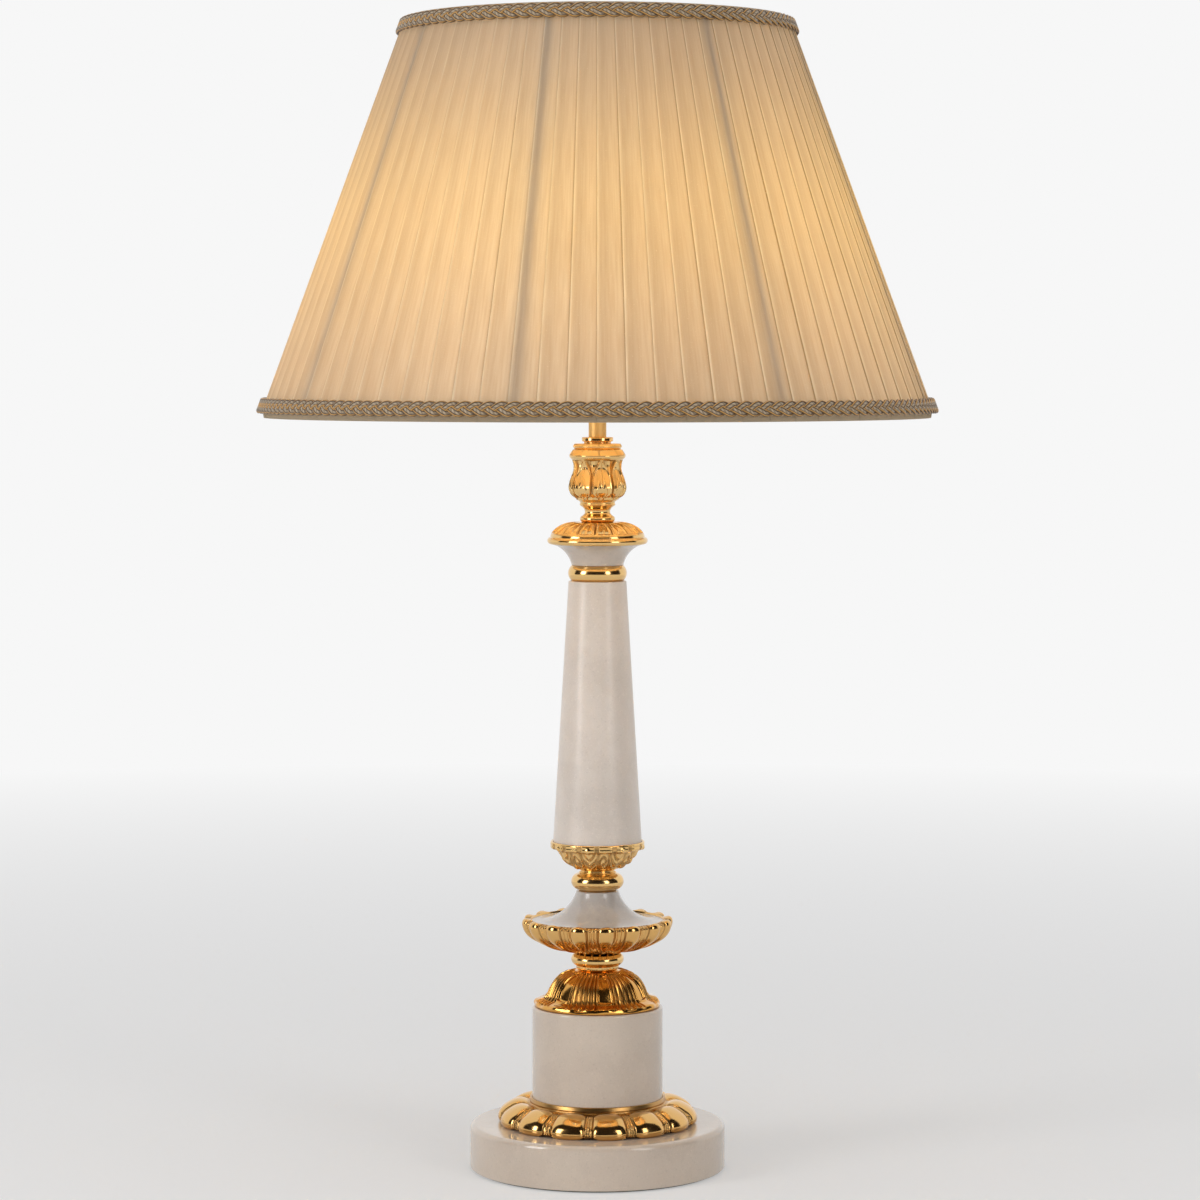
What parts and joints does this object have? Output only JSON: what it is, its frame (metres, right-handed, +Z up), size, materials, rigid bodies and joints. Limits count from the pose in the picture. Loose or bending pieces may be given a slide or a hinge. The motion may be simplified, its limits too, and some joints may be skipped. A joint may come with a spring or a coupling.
{
  "type": "column table lamp",
  "caption": "Table lamp with a tapered alabaster column on a gilt-mounted round base, and a pleated conical shade edged with braid.",
  "frame": {"origin": "centre of the felt's underside, where the lamp stands, on the column's axis", "axes": "+Z up along the column, +X to the right and -Y to the front as the picture shows it"},
  "size_m": [0.4571, 0.4572, 0.7755],
  "materials": {
    "stone": "polished, slightly translucent white alabaster",
    "gilt": "polished gold-plated castings and turnings",
    "felt": "dense felt",
    "bush": "moulded bush",
    "cork": "pressed cork",
    "steel": "zinc-plated steel",
    "holder_brass": "satin brass lampholder",
    "ceramic": "unglazed white insulator",
    "contact": "contact metal",
    "ring": "moulded thermosetting ring",
    "wire": "white-coated frame wire",
    "lining": "plain lining on a stiff backing",
    "cover": "sheer pleated voile",
    "braid": "plaited silk braid with metallic thread",
    "bulb_glass": "frosted glass",
    "bulb_metal": "bright cap",
    "bulb_black": "black glass insulator",
    "bulb_stem": "clear glass mount",
    "filament": "bare tungsten wire"
  },
  "bodies": {
    "lamp": {"felt_pad": "felt", "base_disc": "stone", "cord_bush": "bush", "cork_washer": "cork", "steel_washer": "steel", "lock_washer": "steel", "base_nut": "steel", "tie_rod": "steel", "gadroon_ring": "gilt", "drum": "stone", "dome_rosette": "gilt", "lower_collar": "gilt", "dish": "gilt", "spool": "stone", "mid_collar": "gilt", "leaf_cup": "gilt", "column": "stone", "upper_collar": "gilt", "capital": "stone", "petal_cap": "gilt", "tulip": "gilt", "tulip_disc": "gilt", "top_disc": "gilt", "stem_tube": "gilt", "holder_cap": "holder_brass", "holder_shell": "holder_brass", "holder_insert": "ceramic", "screw_shell": "contact", "contact_tongue": "contact", "terminal_screws": "contact", "lower_shade_ring": "ring"},
    "shade": {"fitter_ring": "wire", "fitter_arms": "wire", "shade_bottom_hoop": "wire", "shade_top_hoop": "wire", "shade_struts": "wire", "shade_lining": "lining", "shade_cover": "cover", "bottom_braid": "braid", "top_braid": "braid"},
    "shade_ring": {"upper_shade_ring": "ring"},
    "bulb": {"bulb_contact": "bulb_metal", "bulb_insulator": "bulb_black", "bulb_cap": "bulb_metal", "bulb_glass": "bulb_glass", "bulb_mount": "bulb_stem", "bulb_filament": "filament"}
  },
  "joints": [
    {"name": "shade_turn", "type": "hinge", "parent": "lamp", "child": "shade", "pos_m": [0, 0, 0.5405], "axis": [0, 0, 1], "continuous": true},
    {"name": "shade_ring_turn", "type": "hinge", "parent": "lamp", "child": "shade_ring", "pos_m": [0, 0, 0.5437], "axis": [0, 0, 1], "range_deg": [0, 1080]},
    {"name": "bulb_turn", "type": "hinge", "parent": "lamp", "child": "bulb", "pos_m": [0, 0, 0.5526], "axis": [0, 0, 1], "range_deg": [0, 900]}
  ]
}
